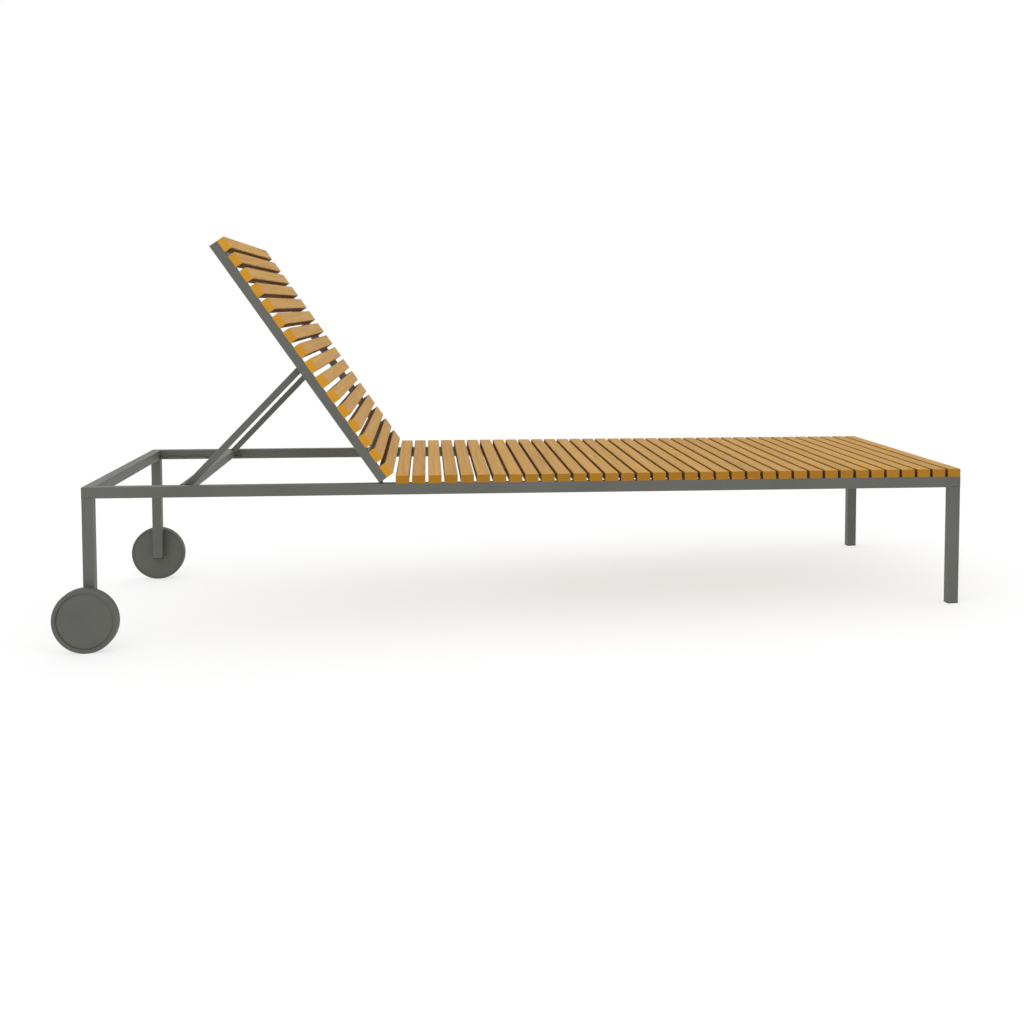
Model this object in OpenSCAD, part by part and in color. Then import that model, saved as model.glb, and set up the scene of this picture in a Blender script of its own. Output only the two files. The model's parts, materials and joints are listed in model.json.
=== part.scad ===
// Reclining sun lounger: square-tube frame, teak slats, propped backrest and two transport wheels.
// Millimetres, +Z up. +X runs from the head end (wheels) to the foot end, +Y to the user's left.
// Origin: centre of the footprint, on the floor. Every module draws in bed coordinates, where
// x = 0 is the head end, z = 0 is the lower end of the head legs and y = 0 is the centre line.
// on_floor() then sets the bed down on its wheels and foot glides.

/* [Bed frame] */
// Overall length of the tube frame
bed_l = 2000; // [1800:10:2100]
// Overall width of the tube frame
bed_w = 750; // [600:10:800]
// Length of the head legs
leg_l = 276; // [200:2:320]
// How much shorter the foot legs are
foot_cut = 4; // [0:1:10]
// Outer size of the square frame tube
tube = 25; // [20:1:35]
// Wall of the square frame tube
tube_wall = 2; // [1.5:0.5:3]
// Head edge of the first seat slat
seat_x = 690; // [600:2:760]

/* [Slats] */
// Number of seat slats
seat_n = 36; // [20:1:40]
// Number of back slats
back_n = 16; // [10:1:20]
// Width of a slat
slat_w = 30; // [25:1:36]
// Thickness of a slat
slat_t = 18.5; // [14:0.5:22]

/* [Backrest] */
// Length of the back rails
back_l = 643; // [560:1:680]
// Outer size of the square back rails
back_tube = 20; // [16:1:25]
// Recline angle of the back above the bed plane, as placed
back_a = 55.2; // [27:0.2:57.2]
// Hinge position from the head end
hinge_x = 656; // [600:0.5:720]
// Height of the hinge axis above the rail tops
hinge_up = 16; // [15:0.5:24]
// Distance of the hinge axis from the lower end of the back rails
hinge_in = 10; // [8:0.5:14]

/* [Prop] */
// Distance from the hinge axis to the prop pivot, along the back
prop_r = 302.5; // [240:0.5:340]
// Outer size of the prop arm tube
arm = 15; // [12:1:20]
// Foot tube position from the head end, as placed
foot_x = 219; // [200:1:260]
// Height of the foot tube axis above the leg ends, as placed
foot_z = 291.5; // [288:0.5:296]
// Outer size of the square foot tube
foot_tube = 20; // [16:1:22]

/* [Wheels] */
// Wheel radius over the tyre
wheel_r = 72; // [60:1:90]
// Wheel width
wheel_w = 26; // [20:1:32]
// Radius of the disc inside the tyre
disc_r = 62; // [45:1:70]
// Height of the axle above the leg end
axle_up = 8; // [8:0.5:14]
// Distance of the axle from the head face of the leg
axle_x = 8; // [8:0.5:16]

/* [Hidden] */
$fn = 64;
steel = [0.41, 0.41, 0.385];
teak = [0.72, 0.52, 0.27];
black = [0.08, 0.08, 0.08];
grey_plastic = [0.37, 0.37, 0.34];
grey_rubber = [0.30, 0.30, 0.28];
zinc = [0.66, 0.67, 0.68];

rail_z = leg_l;                         // underside of the rails
top_z = leg_l + tube;                   // top of the rails
half_w = bed_w / 2;                     // outer face of the side rails
in_w = half_w - tube;                   // inner face of the side rails
rail_y = half_w - tube / 2;             // centre line of the side rails
hinge_z = top_z + hinge_up;
back_in = half_w - back_tube;           // inner face of the back rails
seat_pitch = (bed_l - seat_x - slat_w) / (seat_n - 1);
back_pitch = (back_l - slat_w) / (back_n - 1);

// wheels and floor
axle_d = 8;
insert_d = 10;
insert_l = 17;
insert_y = half_w - tube_wall;          // outer end of the axle insert
washer_t = 3;
wheel_y = half_w + washer_t;            // inner face of the tyre
glide_t = 2;
glide_x = bed_l - tube / 2;
foot_end = foot_cut - glide_t;          // underside of the glides
run_x = glide_x - axle_x;
run_z = axle_up - foot_end;
slope = asin(wheel_r / norm([run_x, run_z])) - atan2(run_z, run_x);
floor_z = glide_x * sin(slope) - foot_end * cos(slope);
end_min = axle_x * cos(slope) + axle_up * sin(slope) - wheel_r;
end_max = bed_l * cos(slope) + (top_z + slat_t) * sin(slope);
mid_x = (end_min + end_max) / 2;

flange_r = disc_r + 4;
flange_y = wheel_y + 5;                 // outer side of the flange behind the tyre
rim_in = disc_r - 4;
cover_deep = 3;                         // the cover sits this far inside the tyre's outer face
cover_y = wheel_y + wheel_w - cover_deep - 2.4;

// hinge and prop pivot
pin_d = 10;
run_gap = 0.05;                         // radial clearance of a turning fit
side_gap = 0.4;                         // gap between faces that slide past each other
pin_head_d = 16;
pin_head_t = 4;
bracket_t = 4;
bracket_y = in_w + 0.6;                 // inner face of the hinge bracket
pin_end = half_w - 3;                   // tip of the pins, inside the back rails
arm_wall = 1.5;
arm_out = in_w - 6;                     // outer face of the prop arms
arm_in = arm_out - arm;
bush_d = 12;
pivot_x = hinge_x - prop_r * cos(back_a);
pivot_z = hinge_z + prop_r * sin(back_a);
prop_l = norm([pivot_x - foot_x, pivot_z - foot_z]);
prop_a = atan2(pivot_z - foot_z, pivot_x - foot_x);

// rest racks for the foot pegs
peg_d = 12;
peg_tip = in_w - 0.6;
plug_flange = 2;
plug_l = 22;
peg_in = 18;                            // depth of the peg in the plug
rack_t = 5;
rack_x0 = tube + 2;
rack_x1 = 246;
rack_z0 = rail_z + 0.5;
rack_top = foot_z - peg_d / 2 - 2.5;
notch_r = 6.3;
notch_deep = 4;
rest_angles = [27, 36.5, 46, back_a];

// fasteners
screw_d = 4.2;
screw_head_d = 8;
screw_head_t = 2.4;
screw_hole = 5;
screw_bite = 12;
pilot_gap = 0.1;
screw_access = 9;
seat_screw_y = rail_y + 4;              // clear of the corner mitres
hex_af = 13;
hex_d = hex_af / cos(30);
bolt_head_t = 5;
hub_end = wheel_y + 13;

// Sub-part to draw

// ---- placing ----

// sets the bed down on its wheels and foot glides
module on_floor() {
    translate([-mid_x, 0, floor_z]) rotate([0, slope, 0]) children();
}

// the backrest is drawn lying flat towards the head, with its hinge axis at the origin
module on_hinge() {
    on_floor() translate([hinge_x, 0, hinge_z]) rotate([0, back_a, 0]) children();
}

// the prop is drawn flat towards the head, with its pivot axis at the origin
module on_pivot() {
    on_floor() translate([pivot_x, 0, pivot_z]) rotate([0, -prop_a, 0]) children();
}

// the same shape on both sides
module both_sides() {
    for (s = [0, 1]) mirror([0, s, 0]) children();
}

// left is +Y, right is -Y
module side(name) {
    mirror([0, name == "r" ? 1 : 0, 0]) children();
}

// ---- stock ----

// square tube along x, from x = 0, centred on y = 0 and z = 0
module tube_x(l, size, wall) {
    difference() {
        translate([0, -size / 2, -size / 2]) cube([l, size, size]);
        translate([-1, -size / 2 + wall, -size / 2 + wall])
            cube([l + 2, size - 2 * wall, size - 2 * wall]);
    }
}

// square tube along y, centred on the origin
module tube_y(l, size, wall) {
    translate([0, -l / 2, 0]) rotate([0, 0, 90]) tube_x(l, size, wall);
}

// round bar along +y, from y = y0 to y1
module bar_y(y0, y1, d) {
    translate([0, y0, 0]) rotate([-90, 0, 0]) cylinder(h = y1 - y0, d = d);
}

// round sleeve along +y
module sleeve_y(y0, y1, d_out, d_in) {
    difference() {
        bar_y(y0, y1, d_out);
        bar_y(y0 - 1, y1 + 1, d_in);
    }
}

// headed pin along y, with its head towards the centre line
module pin_y(y0, y1) {
    bar_y(y0, y1, pin_d);
    bar_y(y0 - pin_head_t, y0, pin_head_d);
}

// screw along +z with its head below z = 0
module screw_z(l) {
    cylinder(h = l, d = screw_d, $fn = 24);
    translate([0, 0, -screw_head_t]) cylinder(h = screw_head_t, d = screw_head_d, $fn = 24);
}

// holes for that screw in a tube of this size: a clear hole in the upper wall and a wider one
// in the lower wall that lets the head pass
module screw_path(size, wall) {
    translate([0, 0, -1]) cylinder(h = wall + 2, d = screw_access, $fn = 24);
    translate([0, 0, size - wall - 1]) cylinder(h = wall + 2, d = screw_hole, $fn = 24);
}

// one slat lying along y from x = 0, with its two pilot holes in the underside
module slat(pilot_x, pilot_y) {
    difference() {
        translate([0, -half_w, 0]) cube([slat_w, bed_w, slat_t]);
        both_sides() translate([pilot_x, pilot_y, -1])
            cylinder(h = screw_bite + 1.5, d = screw_d + pilot_gap, $fn = 24);
    }
}

// ---- base frame ----

// wedge on one side of the 45 degree line through the head corner of the frame
module mitre(outer) {
    corner = outer ? [tube + 1, half_w + 1] : [-1, in_w - 1];
    translate([0, 0, rail_z - 1]) linear_extrude(tube + 2)
        polygon([[-1, half_w + 1], corner, [tube + 1, in_w - 1]]);
}

// the same shape at the foot end
module at_foot_end() {
    translate([bed_l, 0, 0]) mirror([1, 0, 0]) children();
}

module side_rail() {
    difference() {
        translate([0, rail_y, rail_z + tube / 2]) tube_x(bed_l, tube, tube_wall);
        mitre(false);
        at_foot_end() mitre(false);
        for (i = [0:seat_n - 1])
            translate([seat_x + i * seat_pitch + slat_w / 2, seat_screw_y, rail_z])
                screw_path(tube, tube_wall);
    }
}

module end_rail() {
    difference() {
        translate([tube / 2, 0, rail_z + tube / 2]) tube_y(bed_w, tube, tube_wall);
        both_sides() mitre(true);
    }
}

module side_rail_l() { color(steel) on_floor() side("l") side_rail(); }
module side_rail_r() { color(steel) on_floor() side("r") side_rail(); }
module head_rail() { color(steel) on_floor() end_rail(); }
module foot_rail() { color(steel) on_floor() at_foot_end() end_rail(); }

// leg tube from z = z0 up to a frame corner; only the outer wall of a head leg is drilled
module leg(x, z0, drilled) {
    difference() {
        translate([x, rail_y, z0]) rotate([0, -90, 0]) tube_x(rail_z - z0, tube, tube_wall);
        if (drilled) translate([axle_x, 0, axle_up]) bar_y(insert_y - 1, half_w + 1, axle_d + 0.2);
    }
}

module leg_head_l() { color(steel) on_floor() side("l") leg(tube / 2, 0, true); }
module leg_head_r() { color(steel) on_floor() side("r") leg(tube / 2, 0, true); }
module leg_foot_l() { color(steel) on_floor() side("l") leg(glide_x, foot_cut, false); }
module leg_foot_r() { color(steel) on_floor() side("r") leg(glide_x, foot_cut, false); }

// cross tube between the side rails, under the seat
module cross_rail(x) {
    on_floor() translate([x, 0, rail_z + tube / 2]) tube_y(2 * in_w, tube, tube_wall);
}

module cross_rail_hinge() { color(steel) cross_rail(seat_x + slat_w / 2); }
module cross_rail_seat() { color(steel) cross_rail(seat_x + 18 * seat_pitch + slat_w / 2); }

// block that closes the lower end of a head leg and holds the axle insert
module leg_plug() {
    core = tube - 2 * tube_wall;
    flange = 2;
    difference() {
        union() {
            translate([tube_wall, in_w + tube_wall, 0]) cube([core, core, 28]);
            translate([0, in_w, -flange]) cube([tube, tube, flange]);
        }
        translate([axle_x, 0, axle_up]) bar_y(insert_y - insert_l, half_w, insert_d);
    }
}

module leg_plug_l() { color(black) on_floor() side("l") leg_plug(); }
module leg_plug_r() { color(black) on_floor() side("r") leg_plug(); }

// pressed-in foot of a foot leg, with its underside level with the floor
module foot_glide() {
    core = tube - 2 * tube_wall;
    difference() {
        union() {
            translate([glide_x - core / 2, rail_y - core / 2, foot_cut]) cube([core, core, 22]);
            translate([bed_l - tube, in_w, foot_cut - 2 * glide_t]) cube([tube, tube, 2 * glide_t]);
        }
        translate([glide_x, rail_y, foot_end]) rotate([0, -slope, 0])
            translate([-tube, -tube, -2 * tube]) cube([2 * tube, 2 * tube, 2 * tube]);
    }
}

module foot_glide_l() { color(black) on_floor() side("l") foot_glide(); }
module foot_glide_r() { color(black) on_floor() side("r") foot_glide(); }

// foot position along the racks for a back angle, with the foot at its placed height
function pivot_at(a) = [hinge_x - prop_r * cos(a), hinge_z + prop_r * sin(a)];
function foot_at(a) = pivot_at(a)[0] - sqrt(pow(prop_l, 2) - pow(pivot_at(a)[1] - foot_z, 2));

// notched strip inside a side rail that the foot pegs rest on
module rest_rack() {
    difference() {
        translate([rack_x0, in_w - rack_t, rack_z0])
            cube([rack_x1 - rack_x0, rack_t, rack_top - rack_z0]);
        for (a = rest_angles)
            translate([foot_at(a), 0, rack_top + notch_r - notch_deep])
                bar_y(in_w - rack_t - 1, in_w + 1, 2 * notch_r);
    }
}

module rest_rack_l() { color(steel) on_floor() side("l") rest_rack(); }
module rest_rack_r() { color(steel) on_floor() side("r") rest_rack(); }

// upright plate on the rail top, inboard of the back rail
module hinge_bracket() {
    half = 5;
    translate([hinge_x, 0, 0]) difference() {
        union() {
            translate([-half, bracket_y, top_z]) cube([2 * half, bracket_t, hinge_up]);
            translate([0, 0, hinge_z]) bar_y(bracket_y, bracket_y + bracket_t, pin_head_d);
        }
        translate([0, 0, hinge_z]) bar_y(bracket_y - 1, bracket_y + bracket_t + 1, pin_d);
    }
}

module hinge_bracket_l() { color(steel) on_floor() side("l") hinge_bracket(); }
module hinge_bracket_r() { color(steel) on_floor() side("r") hinge_bracket(); }
module hinge_pins() {
    color(zinc) on_floor() both_sides() translate([hinge_x, 0, hinge_z]) pin_y(bracket_y, pin_end);
}

// ---- seat ----

module seat_slats() {
    color(teak) on_floor()
        for (i = [0:seat_n - 1])
            translate([seat_x + i * seat_pitch, 0, top_z]) slat(slat_w / 2, seat_screw_y);
}

module seat_screws() {
    color(zinc) on_floor() both_sides()
        for (i = [0:seat_n - 1])
            translate([seat_x + i * seat_pitch + slat_w / 2, seat_screw_y, top_z - tube_wall])
                screw_z(tube_wall + screw_bite);
}

// ---- axles ----

module on_axle() {
    on_floor() translate([axle_x, 0, axle_up]) children();
}

module axle_bolts() {
    color(zinc) on_axle() both_sides() {
        bar_y(insert_y - insert_l + 1, hub_end + 0.3, axle_d);
        translate([0, hub_end + 0.3, 0]) rotate([-90, 0, 0])
            cylinder(h = bolt_head_t, d = hex_d, $fn = 6);
    }
}

module axle_washers() {
    color(zinc) on_axle() both_sides() sleeve_y(half_w, wheel_y, 18, axle_d + 0.2);
}

// threaded sleeves in the leg plugs that hold the axle bolts
module axle_inserts() {
    color(zinc) on_axle() both_sides() sleeve_y(insert_y - insert_l, insert_y, insert_d, axle_d);
}

// ---- wheels, drawn with their axis on y, left side ----

// solid ring turned from a profile of [radius, y] points
module turned(points) {
    rotate([-90, 0, 0]) rotate_extrude($fn = 96) polygon(points);
}

module tyre() {
    y0 = wheel_y;
    y1 = wheel_y + wheel_w;
    edge = 2.5;
    turned([[flange_r, y0], [wheel_r - edge, y0], [wheel_r, y0 + edge], [wheel_r, y1 - edge],
        [wheel_r - edge, y1], [disc_r, y1], [disc_r, flange_y], [flange_r, flange_y]]);
}

// disc with a hub, a flange behind the tyre and a rim that the cover clips into
module wheel_disc() {
    hub_in = bush_d / 2 + 2;
    hub_out = 17;
    inner = wheel_y + 1;
    web = inner + 3;
    turned([[hub_in, wheel_y + side_gap], [hub_out, wheel_y + side_gap], [hub_out, inner],
        [flange_r, inner], [flange_r, flange_y], [disc_r, flange_y], [disc_r, cover_y],
        [rim_in, cover_y], [rim_in, web], [hub_out, web], [hub_out, hub_end], [hub_in, hub_end]]);
}

module wheel_bush() {
    sleeve_y(wheel_y + side_gap, hub_end, bush_d + 4, axle_d + 2 * run_gap);
}

// flat cover with a lip; it closes the outer face and hides the bolt head
module wheel_cover() {
    y1 = wheel_y + wheel_w - cover_deep;
    r = disc_r - 0.3;
    edge = 0.8;
    lip_out = rim_in - 0.1;
    lip_in = lip_out - 2;
    lip_y = cover_y - 3;
    turned([[0, cover_y], [lip_in, cover_y], [lip_in, lip_y], [lip_out, lip_y], [lip_out, cover_y],
        [r, cover_y], [r, y1 - edge], [r - edge, y1], [0, y1]]);
}

module tyre_l() { color(grey_rubber) on_axle() side("l") tyre(); }
module tyre_r() { color(grey_rubber) on_axle() side("r") tyre(); }
module wheel_disc_l() { color(grey_plastic) on_axle() side("l") wheel_disc(); }
module wheel_disc_r() { color(grey_plastic) on_axle() side("r") wheel_disc(); }
module wheel_bush_l() { color(black) on_axle() side("l") wheel_bush(); }
module wheel_bush_r() { color(black) on_axle() side("r") wheel_bush(); }
module wheel_cover_l() { color(grey_plastic) on_axle() side("l") wheel_cover(); }
module wheel_cover_r() { color(grey_plastic) on_axle() side("r") wheel_cover(); }

// ---- backrest, drawn flat towards -x with the hinge axis at the origin ----

back_y = half_w - back_tube / 2;
back_wall = 2;
back_core = back_tube - 2 * back_wall;
low_screw = 9;                          // the lowest screws sit this much higher, past the hinge pin

function back_slat_x(i) = hinge_in - i * back_pitch - slat_w;
function back_pilot(i) = slat_w / 2 - (i == 0 ? low_screw : 0);

module back_rail() {
    difference() {
        translate([hinge_in - back_l, back_y, 0]) tube_x(back_l, back_tube, back_wall);
        bar_y(back_in - 1, back_in + back_wall + 1, pin_d + 1);
        translate([-prop_r, 0, 0]) bar_y(back_in - 1, back_in + back_wall + 1, pin_d);
        for (i = [0:back_n - 1])
            translate([back_slat_x(i) + back_pilot(i), back_y, -back_tube / 2])
                screw_path(back_tube, back_wall);
    }
}

module back_rail_l() { color(steel) on_hinge() side("l") back_rail(); }
module back_rail_r() { color(steel) on_hinge() side("r") back_rail(); }

// cross tube between the back rails, set off from the middle of the slat of this number
module back_cross(i, off) {
    on_hinge() translate([back_slat_x(i) + slat_w / 2 + off, 0, 0])
        tube_y(2 * back_in, back_tube, back_wall);
}

module back_tube_low() { color(steel) back_cross(1, 4); }
module back_tube_top() { color(steel) back_cross(back_n - 1, -3); }

// caps in the upper ends of the back rails
module back_caps() {
    cap_l = 10;
    color(black) on_hinge() both_sides()
        translate([hinge_in - back_l, back_y - back_core / 2, -back_core / 2])
            cube([cap_l, back_core, back_core]);
}

// bearing block in the lower end of a back rail, turning on the hinge pin
module hinge_plug() {
    l = 19;
    difference() {
        translate([hinge_in - l, back_in + back_wall, -back_core / 2]) cube([l, back_core, back_core]);
        bar_y(back_in, pin_end + 0.5, pin_d + 2 * run_gap);
    }
}

module hinge_plug_l() { color(black) on_hinge() side("l") hinge_plug(); }
module hinge_plug_r() { color(black) on_hinge() side("r") hinge_plug(); }

// steel blocks inside the back rails that hold the prop pins
module pivot_blocks() {
    l = 13;
    color(zinc) on_hinge() both_sides() translate([-prop_r, 0, 0]) difference() {
        translate([-l / 2, back_in + back_wall, -back_core / 2]) cube([l, back_core, back_core]);
        bar_y(back_in, pin_end, pin_d);
    }
}

module prop_pins() {
    color(zinc) on_hinge() both_sides() translate([-prop_r, 0, 0]) pin_y(arm_in - side_gap, pin_end);
}

module prop_spacers() {
    color(zinc) on_hinge() both_sides() translate([-prop_r, 0, 0])
        sleeve_y(arm_out + side_gap, back_in, pin_head_d, pin_d);
}

module back_slats() {
    color(teak) on_hinge()
        for (i = [0:back_n - 1])
            translate([back_slat_x(i), 0, back_tube / 2]) slat(back_pilot(i), back_y);
}

module back_screws() {
    color(zinc) on_hinge() both_sides()
        for (i = [0:back_n - 1])
            translate([back_slat_x(i) + back_pilot(i), back_y, back_tube / 2 - back_wall])
                screw_z(back_wall + screw_bite);
}

// ---- prop, drawn flat towards -x with the pivot axis at the origin ----

// the foot tube as a solid bar; it stands square to the bed when the back is as placed
module foot_solid(half_l) {
    translate([-prop_l, 0, 0]) rotate([0, prop_a, 0])
        translate([-foot_tube / 2, -half_l, -foot_tube / 2]) cube([foot_tube, 2 * half_l, foot_tube]);
}

module prop_arm() {
    difference() {
        translate([-prop_l, arm_in + arm / 2, 0]) tube_x(prop_l, arm, arm_wall);
        bar_y(arm_in - 1, arm_out + 1, arm);
        foot_solid(half_w);
    }
}

module prop_arm_l() { color(steel) on_pivot() side("l") prop_arm(); }
module prop_arm_r() { color(steel) on_pivot() side("r") prop_arm(); }
module prop_bosses() { color(steel) on_pivot() both_sides() sleeve_y(arm_in, arm_out, arm, bush_d); }
module prop_bushes() {
    color(black) on_pivot() both_sides() sleeve_y(arm_in, arm_out, bush_d, pin_d + 2 * run_gap);
}

module on_foot() {
    on_floor() translate([foot_x, 0, foot_z]) children();
}

module foot_tube() {
    color(steel) on_foot() tube_y(2 * (arm_out - plug_flange), foot_tube, back_wall);
}

// end plug of the foot tube, bored for the peg
module foot_plug() {
    core = foot_tube - 2 * back_wall;
    y0 = arm_out - plug_flange;
    difference() {
        union() {
            translate([-core / 2, y0 - plug_l, -core / 2]) cube([core, plug_l, core]);
            translate([-foot_tube / 2, y0, -foot_tube / 2])
                cube([foot_tube, plug_flange, foot_tube]);
        }
        bar_y(y0 - peg_in, arm_out + 1, peg_d);
    }
}

module foot_plug_l() { color(black) on_foot() side("l") foot_plug(); }
module foot_plug_r() { color(black) on_foot() side("r") foot_plug(); }

// pegs pressed into the plugs; they drop into the rack notches
module foot_pegs() {
    color(zinc) on_foot() both_sides() bar_y(arm_out - plug_flange - peg_in, peg_tip, peg_d);
}

// ---- drawing ----

head_rail();
foot_rail();
side_rail_l();
side_rail_r();
leg_head_l();
leg_head_r();
leg_foot_l();
leg_foot_r();
cross_rail_hinge();
cross_rail_seat();
leg_plug_l();
leg_plug_r();
foot_glide_l();
foot_glide_r();
rest_rack_l();
rest_rack_r();
hinge_bracket_l();
hinge_bracket_r();
hinge_pins();
axle_bolts();
axle_washers();
axle_inserts();
seat_slats();
seat_screws();
back_rail_l();
back_rail_r();
back_tube_low();
back_tube_top();
back_caps();
hinge_plug_l();
hinge_plug_r();
pivot_blocks();
prop_pins();
prop_spacers();
back_slats();
back_screws();
prop_arm_l();
prop_arm_r();
prop_bosses();
prop_bushes();
foot_tube();
foot_plug_l();
foot_plug_r();
foot_pegs();
tyre_l();
wheel_disc_l();
wheel_bush_l();
wheel_cover_l();
tyre_r();
wheel_disc_r();
wheel_bush_r();
wheel_cover_r();
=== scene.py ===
"""Looks of the reclining sun lounger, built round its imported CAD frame. Metres, +Z up."""
import json
import math
import random

import bmesh
import bpy
from mathutils import Matrix, Vector


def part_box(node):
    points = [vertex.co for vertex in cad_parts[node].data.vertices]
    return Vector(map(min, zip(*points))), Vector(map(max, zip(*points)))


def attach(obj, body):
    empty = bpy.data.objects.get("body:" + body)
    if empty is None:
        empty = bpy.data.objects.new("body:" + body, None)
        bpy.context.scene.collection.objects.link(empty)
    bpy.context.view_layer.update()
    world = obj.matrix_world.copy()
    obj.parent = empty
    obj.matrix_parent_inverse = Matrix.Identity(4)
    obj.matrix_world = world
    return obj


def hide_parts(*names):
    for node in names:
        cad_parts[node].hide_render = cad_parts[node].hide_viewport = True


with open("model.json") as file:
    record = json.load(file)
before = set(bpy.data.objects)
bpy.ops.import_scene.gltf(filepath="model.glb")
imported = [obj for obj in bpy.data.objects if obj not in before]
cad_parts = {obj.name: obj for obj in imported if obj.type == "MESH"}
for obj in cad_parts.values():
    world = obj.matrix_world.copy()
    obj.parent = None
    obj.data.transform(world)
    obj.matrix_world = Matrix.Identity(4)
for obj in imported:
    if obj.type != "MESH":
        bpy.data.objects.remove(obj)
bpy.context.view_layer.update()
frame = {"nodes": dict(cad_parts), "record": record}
SEED = 41
random.seed(SEED)

MM = 0.001
SEAT_SLATS, BACK_SLATS = 36, 16
SLAT_WIDTH = 30 * MM
SLAT_EASE, SLAT_NOSE = 1.3 * MM, 0.9 * MM     # rounding of the long edges and of the ends
FRAME_R, BACK_R, ARM_R = 1.1 * MM, MM, 0.9 * MM   # outer corner radii of the tubes
TUBE_WALL, ARM_WALL, BORE_R = 2 * MM, 1.5 * MM, 0.5 * MM
LEG_LAP = 1.7 * MM                            # how far a leg's tube reaches into the rail
WELD_FLARE = ((0.0, 1.9), (0.5, 1.1), (1.3, 0.5), (2.6, 0.0))   # mm along, mm outwards
CREASE = math.radians(32)                     # edges sharper than this shade as creases


# ---------------------------------------------------------------- places

def centre(node):
    lo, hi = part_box(node)
    return (lo + hi) / 2


def axes_from(tail, tip):
    """Rotation about Y that carries +X onto the direction from tail to tip."""
    d = tip - tail
    return Matrix.Rotation(math.atan2(-d.z, d.x), 3, "Y")


def obox(node, axes):
    """Lowest and highest corner of a node in the turned axes."""
    inv = axes.transposed()
    pts = [inv @ v.co for v in frame["nodes"][node].data.vertices]
    return Vector(map(min, zip(*pts))), Vector(map(max, zip(*pts)))


BED = axes_from(centre("head_rail"), centre("foot_rail"))
BACK = axes_from(centre("back_tube_top"), centre("back_tube_low"))
PROP = axes_from(centre("foot_tube"), centre("prop_bosses"))
JOINTS = {j["name"]: Vector(j["pos_m"]) for j in frame["record"]["behaviour"]["joints"]}


# ---------------------------------------------------------------- node graphs

def srgb(*c):
    """Linear RGBA of an sRGB colour given as 0 to 255."""
    lin = [v / 255 / 12.92 if v <= 10 else ((v / 255 + 0.055) / 1.055) ** 2.4 for v in c]
    return (*lin, 1.0)


class Graph:
    """Short calls for building one material."""

    def __init__(self, name):
        self.material = bpy.data.materials.new(name)
        self.material.use_nodes = True
        self.tree = self.material.node_tree
        self.shader = self.tree.nodes["Principled BSDF"]

    def add(self, kind, out=0, inputs=(), **props):
        node = self.tree.nodes.new("ShaderNode" + kind)
        for k, v in props.items():
            setattr(node, k, v)
        for k, v in dict(inputs).items():
            self.put(node.inputs[k], v)
        return node.outputs[out]

    def put(self, socket, value):
        if isinstance(value, bpy.types.NodeSocket):
            self.tree.links.new(value, socket)
        else:
            socket.default_value = value

    def set(self, **values):
        for k, v in values.items():
            self.put(self.shader.inputs[k.replace("_", " ")], v)
        return self

    def coords(self):
        return self.add("TexCoord", out="Object")

    def attribute(self, name, out="Fac"):
        return self.add("Attribute", out=out, attribute_name=name)

    def scaled(self, vector, x, y, z):
        return self.add("VectorMath", operation="MULTIPLY", inputs={0: vector, 1: (x, y, z)})

    def noise(self, vector, scale, detail=2.0, rough=0.5):
        return self.add("TexNoise", inputs={"Vector": vector, "Scale": scale,
                                            "Detail": detail, "Roughness": rough})

    def span(self, value, a, b, c=0.0, d=1.0):
        return self.add("MapRange", inputs={"Value": value, "From Min": a, "From Max": b,
                                            "To Min": c, "To Max": d})

    def calc(self, operation, a, b):
        return self.add("Math", operation=operation, inputs={0: a, 1: b})

    def mix(self, fac, a, b, blend="MIX"):
        return self.add("Mix", out=2, data_type="RGBA", blend_type=blend,
                        inputs={0: fac, 6: a, 7: b})

    def ramp(self, value, stops):
        node = self.tree.nodes.new("ShaderNodeValToRGB")
        self.tree.links.new(value, node.inputs[0])
        points = node.color_ramp.elements
        while len(points) < len(stops):
            points.new(0.5)
        for point, (pos, colour) in zip(points, stops):
            point.position, point.color = pos, colour
        return node.outputs[0]

    def bump(self, height, distance, strength):
        return self.add("Bump", inputs={"Strength": strength, "Distance": distance,
                                        "Height": height})


# ---------------------------------------------------------------- materials
# Noise scales are per metre, so a scale of 650 gives features of about 1.5 mm.

def powder_coat():
    """Satin powder coat: orange peel, a fine grit, a slow drift of tone, rubbed edges."""
    g = Graph("powder_coat")
    p = g.coords()
    drift = g.noise(p, 5, 3, 0.6)
    peel = g.noise(p, 650, 2, 0.5)
    grit = g.noise(p, 2600, 1, 0.5)
    patches = g.span(g.noise(p, 45, 4, 0.7), 0.42, 0.68)
    rubbed = g.calc("MULTIPLY", g.attribute("edge"), patches)
    dust = g.span(g.noise(p, 16, 5, 0.65), 0.52, 0.8, 0.0, 0.22)
    colour = g.ramp(drift, [(0.3, srgb(88, 89, 83)), (0.7, srgb(96, 97, 91))])
    colour = g.mix(g.calc("MULTIPLY", rubbed, 0.25), colour, srgb(121, 122, 115))
    colour = g.mix(dust, colour, srgb(105, 104, 95))
    rough = g.calc("ADD", g.span(peel, 0.3, 0.7, 0.46, 0.58), g.calc("MULTIPLY", rubbed, -0.1))
    height = g.calc("ADD", g.calc("MULTIPLY", peel, 0.75), g.calc("MULTIPLY", grit, 0.25))
    g.set(Base_Color=colour, Roughness=rough, Normal=g.bump(height, 0.05 * MM, 0.8))
    return g.set(Specular_IOR_Level=0.35).material


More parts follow.
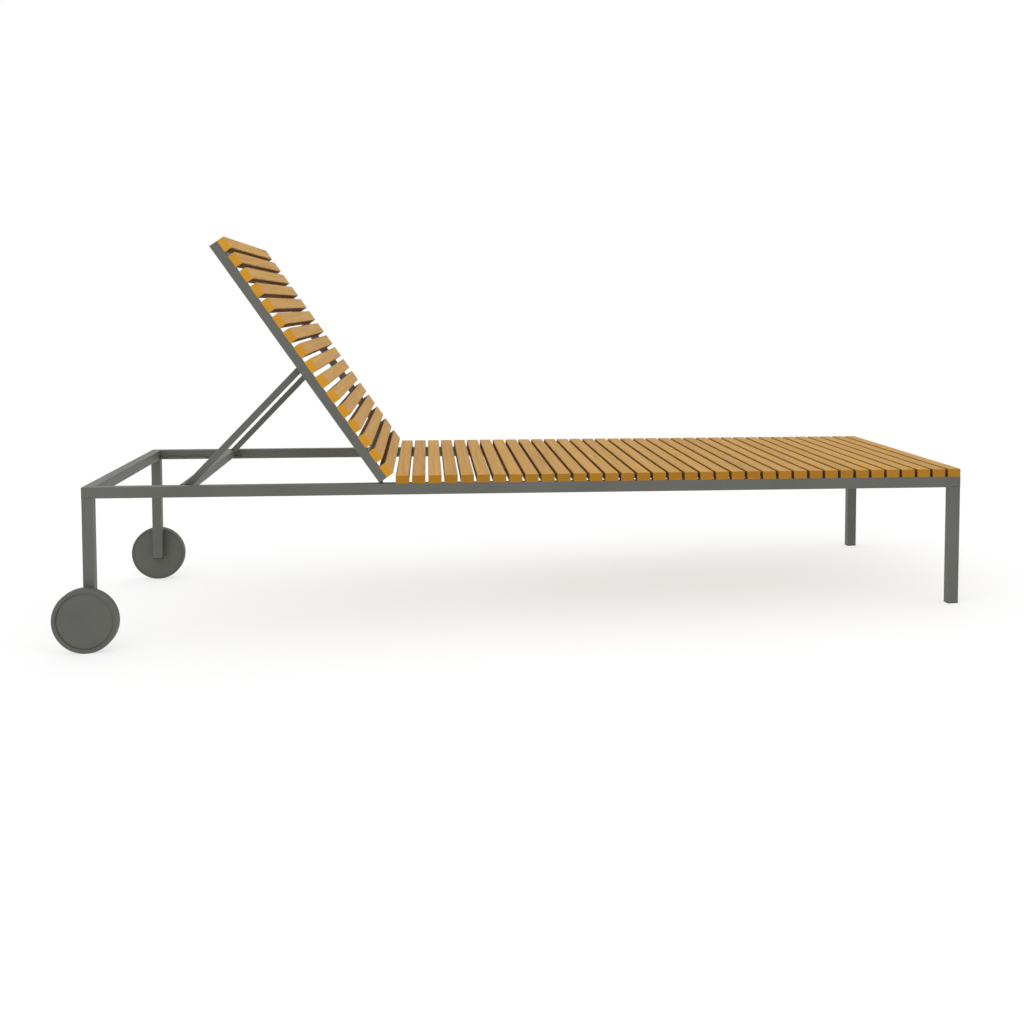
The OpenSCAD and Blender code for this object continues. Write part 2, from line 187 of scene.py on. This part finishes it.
def teak():
    """Oiled teak from slat-local coordinates: growth rings, long fibres, pores, end grain.

    The slats carry `tone` (a value for each slat), `cut` (end faces), `edge` (rounded edges),
    `painted_flank_shade` (painted shade on the side and lower faces and the top's rounded edges)
    and `paler_ends` (paler ends on the backrest).
    """
    g = Graph("teak")
    p = g.attribute("grain", "Vector")
    tone = g.attribute("tone")
    cut = g.attribute("cut")
    edge = g.attribute("edge")
    painted_flank_shade = g.attribute("painted_flank_shade")
    paler_ends = g.attribute("paler_ends")
    sway = g.noise(g.scaled(p, 10, 1.6, 10), 1.0, 2, 0.5)
    drift = g.scaled(g.add("CombineXYZ", inputs={0: sway, 2: sway}), 0.02, 0, 0.02)
    bent = g.add("VectorMath", operation="ADD", inputs={0: p, 1: drift})
    rings = g.add("TexWave", out="Fac", wave_type="RINGS", rings_direction="Y",
                  wave_profile="SIN",
                  inputs={"Vector": g.scaled(bent, 1, 0.06, 1), "Scale": 70.0,
                          "Distortion": 1.4, "Detail": 3.0, "Detail Scale": 8.0,
                          "Detail Roughness": 0.6})
    fibre = g.noise(g.scaled(p, 900, 9, 900), 1.0, 4, 0.65)
    streak = g.noise(g.scaled(p, 150, 2.2, 150), 1.0, 3, 0.55)
    pore = g.span(g.noise(g.scaled(p, 2600, 110, 2600), 1.0, 2, 0.5), 0.6, 0.74)
    light = g.ramp(streak, [(0.25, srgb(184, 136, 52)), (0.5, srgb(196, 148, 62)),
                            (0.8, srgb(208, 164, 80))])
    colour = g.mix(g.span(rings, 0.45, 1.0, 0.0, 0.3), light, srgb(162, 112, 38))
    colour = g.mix(g.span(fibre, 0.35, 0.7, 0.25, 0.0), colour, srgb(152, 100, 34))
    colour = g.mix(g.calc("MULTIPLY", pore, 0.4), colour, srgb(112, 66, 30))
    # painted shade: side faces, lower faces and the top's rounded edges darkened towards deep
    # brown
    colour = g.mix(g.calc("MULTIPLY", painted_flank_shade, 0.9), colour, srgb(74, 40, 3))
    heart = g.ramp(rings, [(0.1, srgb(172, 120, 36)), (0.9, srgb(160, 108, 30))])
    pale = g.ramp(rings, [(0.1, srgb(208, 150, 50)), (0.9, srgb(199, 141, 44))])
    # the end faces of the backrest slats are paler than those of the seat
    ends = g.mix(paler_ends, heart, pale)
    ends = g.mix(g.calc("MULTIPLY", g.span(fibre, 0.4, 0.75), 0.2), ends, srgb(128, 80, 22))
    colour = g.mix(cut, colour, ends)
    shade = g.span(tone, 0.0, 1.0, 0.9, 1.07)
    colour = g.add("VectorMath", operation="SCALE", inputs={0: colour, "Scale": shade})
    wear = g.span(g.noise(g.scaled(p, 60, 12, 60), 1.0, 3), 0.35, 0.65, 0.05, 0.4)
    worn = g.calc("MULTIPLY", edge, wear)
    colour = g.mix(worn, colour, srgb(206, 165, 84))
    rough = g.calc("ADD", g.span(fibre, 0.3, 0.7, 0.44, 0.6), g.calc("MULTIPLY", cut, 0.12))
    height = g.calc("ADD", g.calc("MULTIPLY", fibre, 0.5), g.calc("MULTIPLY", rings, 0.35))
    height = g.calc("SUBTRACT", height, g.calc("MULTIPLY", pore, 0.8))
    g.set(Base_Color=colour, Roughness=rough, Normal=g.bump(height, 0.12 * MM, 0.7))
    return g.set(Specular_IOR_Level=0.09, IOR=1.4).material


def lighter(colour, factor):
    """A linear colour made brighter by a factor."""
    return tuple(min(1, c * factor) for c in colour[:3]) + (1,)


def moulded(name, dark, light, rough, grain, depth):
    """Spark-textured moulding with a slow drift of tone and faint scuffs."""
    g = Graph(name)
    p = g.coords()
    tone = g.noise(p, 14, 4, 0.6)
    spark = g.noise(p, grain, 2, 0.6)
    scuff = g.span(g.noise(g.scaled(p, 30, 220, 30), 1.0, 5, 0.7), 0.6, 0.75)
    colour = g.ramp(tone, [(0.3, dark), (0.72, light)])
    colour = g.mix(g.calc("MULTIPLY", scuff, 0.12), colour, lighter(light, 1.9))
    colour = g.mix(g.calc("MULTIPLY", g.attribute("edge"), 0.16), colour, lighter(light, 1.6))
    g.set(Base_Color=colour, Roughness=g.span(spark, 0.3, 0.7, rough - 0.06, rough + 0.08),
          Normal=g.bump(g.calc("ADD", spark, g.calc("MULTIPLY", scuff, 0.4)), depth, 0.8))
    return g.material


def plated():
    """Zinc plate: bright metal with a crystalline mottle and fine scratches."""
    g = Graph("zinc_plate")
    p = g.coords()
    cell = g.add("TexVoronoi", out="Color", inputs={"Vector": p, "Scale": 260.0})
    mottle = g.noise(p, 90, 4, 0.6)
    scratch = g.noise(g.scaled(p, 2200, 60, 2200), 1.0, 2)
    colour = g.mix(g.calc("MULTIPLY", mottle, 0.5), srgb(196, 199, 203), srgb(150, 153, 158))
    colour = g.mix(0.12, colour, cell, "SOFT_LIGHT")
    g.set(Base_Color=colour, Metallic=1.0, Roughness=g.span(mottle, 0.3, 0.7, 0.28, 0.46),
          Normal=g.bump(scratch, 0.02 * MM, 0.6))
    return g.material


STEEL = powder_coat()
TEAK = teak()
ZINC = plated()
DISC = moulded("wheel_moulding", srgb(80, 81, 75), srgb(87, 88, 81), 0.52, 1500, 0.03 * MM)
TYRE = moulded("tyre_rubber", srgb(78, 79, 73), srgb(86, 87, 80), 0.68, 900, 0.06 * MM)
NYLON = moulded("black_moulding", srgb(30, 30, 30), srgb(42, 42, 41), 0.5, 1600, 0.03 * MM)


# ---------------------------------------------------------------- mesh building

def finish_mesh(name, bm, material, body, nodes, values, axes=None):
    """Makes a piece of a bmesh, with its point values, shading, material, body and CAD nodes."""
    if axes is not None:
        bm.transform(axes.to_4x4())
    bmesh.ops.recalc_face_normals(bm, faces=bm.faces)
    for f in bm.faces:
        f.smooth = True
    for e in bm.edges:
        e.smooth = len(e.link_faces) != 2 or e.calc_face_angle(0) < CREASE
    mesh = bpy.data.meshes.new(name)
    bm.to_mesh(mesh)
    bm.free()
    for key, data in values.items():
        kind = "FLOAT" if isinstance(data[0], float) else "FLOAT_VECTOR"
        layer = mesh.attributes.new(key, kind, "POINT")
        flat = data if kind == "FLOAT" else [c for v in data for c in v]
        layer.data.foreach_set("value" if kind == "FLOAT" else "vector", flat)
    mesh.materials.append(material)
    piece = bpy.data.objects.new(name, mesh)
    bpy.context.scene.collection.objects.link(piece)
    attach(piece, body)
    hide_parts(*nodes)


def rounded(w, h, r, steps=3, side=1, margin=1.2 * MM):
    """Loop of (across, up, edge) points round a rectangle with rounded corners.

    `edge` is 1 on the rounded corners and 0 on the flat sides, which have `side` quads each.
    """
    pts = []
    corners = [(w / 2 - r, h / 2 - r), (r - w / 2, h / 2 - r),
               (r - w / 2, r - h / 2), (w / 2 - r, r - h / 2)]
    for k, (cx, cy) in enumerate(corners):
        for i in range(steps + 1):
            a = math.radians(90 * k + 90 * i / steps)
            pts.append((cx + r * math.cos(a), cy + r * math.sin(a), 1.0))
        a = math.radians(90 * (k + 1))
        nx, ny = corners[(k + 1) % 4]
        s = Vector((cx + r * math.cos(a), cy + r * math.sin(a)))
        e = Vector((nx + r * math.cos(a), ny + r * math.sin(a)))
        m = min(margin / max((e - s).length, 1e-9), 0.45)
        for i in range(side + 1):
            q = s.lerp(e, m + (1 - 2 * m) * i / side)
            pts.append((q.x, q.y, 0.0))
    return pts


def skin(bm, rings, wrap=False):
    """Quads between rings of vertices."""
    pairs = list(zip(rings, rings[1:])) + ([(rings[-1], rings[0])] if wrap else [])
    for a, b in pairs:
        for i in range(len(a)):
            j = (i + 1) % len(a)
            bm.faces.new((a[i], a[j], b[j], b[i]))


def tube(node, body, axes, axis, r=FRAME_R, wall=TUBE_WALL, start=None, end=None, side=1,
         weld=False, grow=(0, 0)):
    """Square tube on a CAD node's place: rounded corners, open bore, shaped ends, weld fillets.

    `axis` is the tube's own direction. `start` and `end` say how far each wall point is cut
    back at that end, and `grow` lengthens the tube first. `weld` flares both ends.
    """
    lo, hi = obox(node, axes)
    b, c = [i for i in range(3) if i != axis]
    mid = (lo + hi) / 2
    w, h = hi[b] - lo[b], hi[c] - lo[c]
    outer = rounded(w, h, r, side=side)
    inner = rounded(w - 2 * wall, h - 2 * wall, BORE_R, side=side)
    length = hi[axis] - lo[axis]
    stops = [(0, 0.0), (1, 0.0)]
    if weld:
        stops = [(t * MM / length, f * MM) for t, f in WELD_FLARE]
        stops += [(1 - t * MM / length, f * MM) for t, f in reversed(WELD_FLARE)]
    bm = bmesh.new()
    edges, rings = [], []

    def ring(loop, share, flare):
        out = []
        for n, (u, v, e) in enumerate(loop):
            if flare:
                u += math.copysign(flare * (1 + 0.15 * math.sin(n * 2.3 + share * 9)), u)
            at_b, at_c = mid[b] + u, mid[c] + v
            t0 = lo[axis] - grow[0] + (start(at_b, at_c) if start else 0)
            t1 = hi[axis] + grow[1] - (end(at_b, at_c) if end else 0)
            co = Vector((0, 0, 0))
            co[axis], co[b], co[c] = t0 + (t1 - t0) * share, at_b, at_c
            out.append(bm.verts.new(co))
            edges.append(float(e))
        rings.append(out)

    for share, flare in stops:
        ring(outer, share, flare)
    ring([(u, v, 0.0) for u, v, _ in inner], 1, 0)
    ring([(u, v, 0.0) for u, v, _ in inner], 0, 0)
    skin(bm, rings, wrap=True)
    finish_mesh(node + "_tube", bm, STEEL, body, [node], {"edge": edges}, axes)


def slats(node, body, axes, count, name, paler_ends):
    """Slats with eased edges; each has its own cut of the log and its own tone."""
    lo, hi = obox(node, axes)
    width, ease, nose = SLAT_WIDTH, SLAT_EASE, SLAT_NOSE
    pitch = (hi.x - lo.x - width) / (count - 1)
    thick, half = hi.z - lo.z, (hi.y - lo.y) / 2
    right_angle = 1.5708
    # (distance from the end, inset of the outline, how much it is end grain)
    inset = [(0, nose + 0.9 * MM, 1.0), (0, nose, 1.0)]
    inset += [(nose * (1 - math.cos(a)), nose * (1 - math.sin(a)), 1 - a / right_angle)
              for a in (0.52, 1.05, right_angle)]
    inset += [(nose + 1.3 * MM, 0.0, 0.0)]
    stations = [(-half + d, i, q) for d, i, q in inset]
    stations += [(half - d, i, q) for d, i, q in reversed(inset)]
    last = len(stations) - 1
    bm = bmesh.new()
    values = {"grain": [], "tone": [], "edge": [], "cut": [], "painted_flank_shade": [], "paler_ends": []}
    for k in range(count):
        x0, z0 = lo.x + k * pitch + width / 2, (lo.z + hi.z) / 2
        shift = Vector((random.uniform(-0.09, 0.09), random.uniform(0, 40),
                        random.uniform(0.02, 0.13)))
        tone = random.betavariate(2.2, 2.2)
        rings = []
        for n, (y, i, q) in enumerate(stations):
            r = max(ease - i, 0.25 * MM)
            rim = 1.0 if 0 < min(n, last - n) < len(inset) - 1 else 0.0
            out = []
            for u, v, e in rounded(width - 2 * i, thick - 2 * i, r):
                out.append(bm.verts.new((x0 + u, y, z0 + v)))
                values["grain"].append((u + shift.x, y + shift.y, v + shift.z))
                values["tone"].append(float(tone))
                values["edge"].append(max(e * (1 - q), rim * 0.8))
                values["cut"].append(float(q))
                # painted shade: the sides darken most towards the bottom, the lower face and the
                # top's rounded edges less
                if abs(u) > width / 2 - i - 0.4 * r:
                    depth = max(0.0, (thick / 2 - i - v) / (4 * MM))
                    values["painted_flank_shade"].append(min(1.0, 0.6 + 0.4 * depth))
                else:
                    values["painted_flank_shade"].append(0.4 * e if v > 0 else 0.3)
                values["paler_ends"].append(paler_ends)
            rings.append(out)
        skin(bm, rings)
        bm.faces.new(rings[0])
        bm.faces.new(rings[-1])
    finish_mesh(name, bm, TEAK, body, [node], values, axes)


def fillet(points, radii, steps=4, margin=0.8 * MM):
    """Closed (radius, y) outline with its corners rounded, as (radius, y, edge) points."""
    out = []
    for i, p in enumerate(points):
        p, a, b = Vector(p), Vector(points[i - 1]), Vector(points[(i + 1) % len(points)])
        r = radii[i] * MM
        if r == 0:
            out.append((*p, 0.0))
            continue
        ua, ub = (a - p).normalized(), (b - p).normalized()
        half = ua.angle(ub) / 2
        d = min(r / math.tan(half), 0.4 * (a - p).length, 0.4 * (b - p).length)
        r = d * math.tan(half)
        c = p + (ua + ub).normalized() * (r / math.sin(half))
        s, e = p + ua * d, p + ub * d
        a0 = math.atan2(s.y - c.y, s.x - c.x)
        turn = (math.atan2(e.y - c.y, e.x - c.x) - a0 + math.pi) % (2 * math.pi) - math.pi
        gap = min(margin, 0.1 * min((a - p).length, (b - p).length))
        out.append((*(s + ua * gap), 0.0))
        for k in range(steps + 1):
            t = a0 + turn * k / steps
            out.append((c.x + r * math.cos(t), c.y + r * math.sin(t), 1.0))
        out.append((*(e + ub * gap), 0.0))
    return out


def lathe(name, outline, at, body, nodes, material, seg=144):
    """Turns a closed outline about the Y axis through a point."""
    bm = bmesh.new()
    rings, edges = [], []
    for k in range(seg):
        a = 2 * math.pi * k / seg
        out = []
        for r, y, e in outline:
            out.append(bm.verts.new((at.x + r * math.cos(a), y, at.z + r * math.sin(a))))
            edges.append(float(e))
        rings.append(out)
    skin(bm, rings, wrap=True)
    finish_mesh(name, bm, material, body, nodes, {"edge": edges})


# ---------------------------------------------------------------- frame tubes
# The mitre functions say how far a point on a rail's wall is cut back at the corner.

half_w = obox("side_rail_l", BED)[1].y
head_x = obox("head_rail", BED)[0].x
foot_x = obox("foot_rail", BED)[1].x


def side_mitre(y, z):
    return half_w - abs(y)


def head_mitre(x, z):
    return x - head_x


def foot_mitre(x, z):
    return foot_x - x


for rail in ("side_rail_l", "side_rail_r"):
    tube(rail, "frame", BED, 0, start=side_mitre, end=side_mitre)
tube("head_rail", "frame", BED, 1, start=head_mitre, end=head_mitre)
tube("foot_rail", "frame", BED, 1, start=foot_mitre, end=foot_mitre)
for leg in ("leg_head_l", "leg_head_r", "leg_foot_l", "leg_foot_r"):
    tube(leg, "frame", BED, 2, grow=(0, LEG_LAP))
for cross in ("cross_rail_hinge", "cross_rail_seat"):
    tube(cross, "frame", BED, 1, weld=True)

for rail in ("back_rail_l", "back_rail_r"):
    tube(rail, "backrest", BACK, 0, r=BACK_R)
for cross in ("back_tube_low", "back_tube_top"):
    tube(cross, "backrest", BACK, 1, r=BACK_R, weld=True)

foot_lo, foot_hi = obox("foot_tube", BED)
foot_half = (foot_hi.z - foot_lo.z) / 2
foot_along = (PROP.transposed() @ centre("foot_tube")).x
boss_r = (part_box("prop_bosses")[1].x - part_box("prop_bosses")[0].x) / 2
pivot = PROP.transposed() @ centre("prop_bosses")
lean = (BED.transposed() @ PROP).to_euler().y
lean_cos, lean_sin = math.cos(lean), -math.sin(lean)


def on_foot(y, z):
    """How far along the arm its wall leaves the square foot tube."""
    up = z - pivot.z
    return min((foot_half + up * lean_sin) / lean_cos, (foot_half - up * lean_cos) / lean_sin)


def on_boss(y, z):
    """How far back from the pivot the arm's wall meets the round boss."""
    return math.sqrt(max(boss_r ** 2 - (z - pivot.z) ** 2, 0))


for arm in ("prop_arm_l", "prop_arm_r"):
    lo, hi = obox(arm, PROP)
    tube(arm, "prop", PROP, 0, r=ARM_R, wall=ARM_WALL, side=8,
         grow=(lo.x - foot_along, pivot.x - hi.x), start=on_foot, end=on_boss)
tube("foot_tube", "prop", BED, 1, r=BACK_R)

# ---------------------------------------------------------------- slats and wheels

slats("seat_slats", "frame", BED, SEAT_SLATS, "seat_slats_teak", 0.0)
slats("back_slats", "backrest", BACK, BACK_SLATS, "back_slats_teak", 1.0)


def reach(node):
    """Radius of a turned wheel piece, and its distances from the bed's middle plane."""
    lo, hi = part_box(node)
    near, far = sorted((abs(lo.y), abs(hi.y)))
    return (hi.x - lo.x) / 2, near, far


def wheel(letter, body, joint, sign):
    """Tyre, moulded disc and flat cover of one wheel, turned about its axle."""
    at = JOINTS[joint]
    radius, tyre_in, tyre_out = reach("tyre_" + letter)
    flange, disc_in, _ = reach("wheel_disc_" + letter)
    cover_r, cover_in, cover_out = reach("wheel_cover_" + letter)
    spigot, spigot_wall = 3 * MM, 2 * MM     # ring that holds the cover in the disc
    cover_in += spigot                       # the flat plate starts above it
    mouth = cover_r + 0.3 * MM               # opening of the tyre round the cover
    step = tyre_in + 5 * MM                  # outer face of the disc's flange
    rim, web = mouth - 4 * MM, tyre_in + 4 * MM
    hub, hub_out, hole = 17 * MM, tyre_in + 13 * MM, 8 * MM
    core, dish = 0.01 * MM, 0.15 * MM        # hole and hollow at the middle of the cover
    lip = rim - 0.1 * MM                     # outer radius of the spigot

    def turned(suffix, node, material, points, radii, steps=4):
        outline = [(r, sign * y, e) for r, y, e in fillet(points, radii, steps)]
        lathe(node + suffix, outline, at, body, [node], material)

    turned("_rubber", "tyre_" + letter, TYRE,
           [(flange, tyre_in), (radius, tyre_in), (radius, tyre_out), (mouth, tyre_out),
            (mouth, step), (flange, step)],
           [0.8, 3.2, 3.2, 1.2, 0, 0], 6)
    turned("_moulding", "wheel_disc_" + letter, DISC,
           [(hole, disc_in), (hub, disc_in), (hub, tyre_in + MM), (flange, tyre_in + MM),
            (flange, step), (mouth, step), (mouth, cover_in), (rim, cover_in), (rim, web),
            (hub, web), (hub, hub_out), (hole, hub_out)],
           [0, 0.5, 1.0, 0.5, 0, 0, 0.3, 0.3, 1, 1, 0.5, 0])
    turned("_moulding", "wheel_cover_" + letter, DISC,
           [(core, cover_in), (lip - spigot_wall, cover_in),
            (lip - spigot_wall, cover_in - spigot), (lip, cover_in - spigot),
            (lip, cover_in), (cover_r, cover_in), (cover_r, cover_out),
            (core, cover_out - dish)],
           [0, 0, 0, 0, 0, 0, 0.9, 0])


wheel("l", "wheel_left", "wheel_spin_left", 1)
wheel("r", "wheel_right", "wheel_spin_right", -1)

# ---------------------------------------------------------------- small hardware
# It keeps its CAD mesh. The moulded, bent and cut pieces get eased edges.

finishes = {"frame_steel": STEEL, "teak": TEAK, "wheel_rubber": TYRE, "wheel_plastic": DISC,
            "black_nylon": NYLON, "plated_steel": ZINC}
slots = {p["node"]: p["material_slot"] for p in frame["record"]["subparts"]}
EASED = {"leg_plug_l": 0.5, "leg_plug_r": 0.5, "foot_glide_l": 0.6, "foot_glide_r": 0.6,
         "back_caps": 0.4, "hinge_plug_l": 0.3, "hinge_plug_r": 0.3, "foot_plug_l": 0.4,
         "foot_plug_r": 0.4, "rest_rack_l": 0.4, "rest_rack_r": 0.4, "hinge_bracket_l": 0.4,
         "hinge_bracket_r": 0.4}                 # bevel widths in mm
for node, obj in frame["nodes"].items():
    if obj.hide_render:
        continue
    obj.data.materials.clear()
    obj.data.materials.append(finishes[slots[node]])
    if node in EASED:
        weld = obj.modifiers.new("weld", "WELD")
        weld.merge_threshold = 0.01 * MM
        ease = obj.modifiers.new("ease", "BEVEL")
        ease.width, ease.segments, ease.limit_method = EASED[node] * MM, 2, "ANGLE"
        ease.angle_limit, ease.harden_normals = math.radians(40), True

# ---------------------------------------------------------------- stage

FLOOR = 60.0                                 # half the side of the floor
KEY_WATTS, TOP_WATTS = 14, 12
# the camera was fitted to the bed in the photograph
CAMERA_AT = (-0.187424, -3.267659, 0.741618)
CAMERA_TURN = (0.72840414, 0.68366617, -0.01598977, -0.04209861)
CAMERA_LENS = 45.30
CAMERA_SHIFT = (-0.02214, -0.12479)

floor_mesh = bpy.data.meshes.new("floor")
floor_mesh.from_pydata([(-FLOOR, -FLOOR, 0), (FLOOR, -FLOOR, 0), (FLOOR, FLOOR, 0),
                        (-FLOOR, FLOOR, 0)], [], [(0, 1, 2, 3)])
floor = bpy.data.objects.new("floor", floor_mesh)
bpy.context.scene.collection.objects.link(floor)
paper = Graph("pale_floor")
paper.set(Base_Color=(0.36, 0.36, 0.36, 1), Roughness=0.95, Specular_IOR_Level=0.0,
          Emission_Color=(1, 1, 1, 1), Emission_Strength=0.64)
floor_mesh.materials.append(paper.material)

scene = bpy.context.scene
world = bpy.data.worlds.new("studio")
scene.world = world
world.use_nodes = True
sky = world.node_tree.nodes["Background"]
sky.inputs["Color"].default_value = (1, 1, 1, 1)
sky.inputs["Strength"].default_value = 1.0


def softbox(name, at, to, size, watts):
    light = bpy.data.lights.new(name, "AREA")
    light.shape, light.energy = "RECTANGLE", watts
    light.size, light.size_y = size
    lamp = bpy.data.objects.new(name, light)
    scene.collection.objects.link(lamp)
    lamp.location = at
    lamp.rotation_mode = "QUATERNION"
    lamp.rotation_quaternion = (Vector(to) - Vector(at)).to_track_quat("-Z", "Y")


softbox("key", (-1.2, -2.6, 3.6), (0, 0, 0.3), (3.0, 2.0), KEY_WATTS)
softbox("top", (0.4, 0.2, 4.2), (0.2, 0, 0.3), (4.0, 3.0), TOP_WATTS)
scene.view_settings.view_transform = "Standard"

camera = bpy.data.objects.new("camera", bpy.data.cameras.new("camera"))
scene.collection.objects.link(camera)
camera.location = CAMERA_AT
camera.rotation_mode = "QUATERNION"
camera.rotation_quaternion = CAMERA_TURN
camera.data.sensor_width = 36.0
camera.data.lens = CAMERA_LENS
camera.data.shift_x, camera.data.shift_y = CAMERA_SHIFT
scene.camera = camera
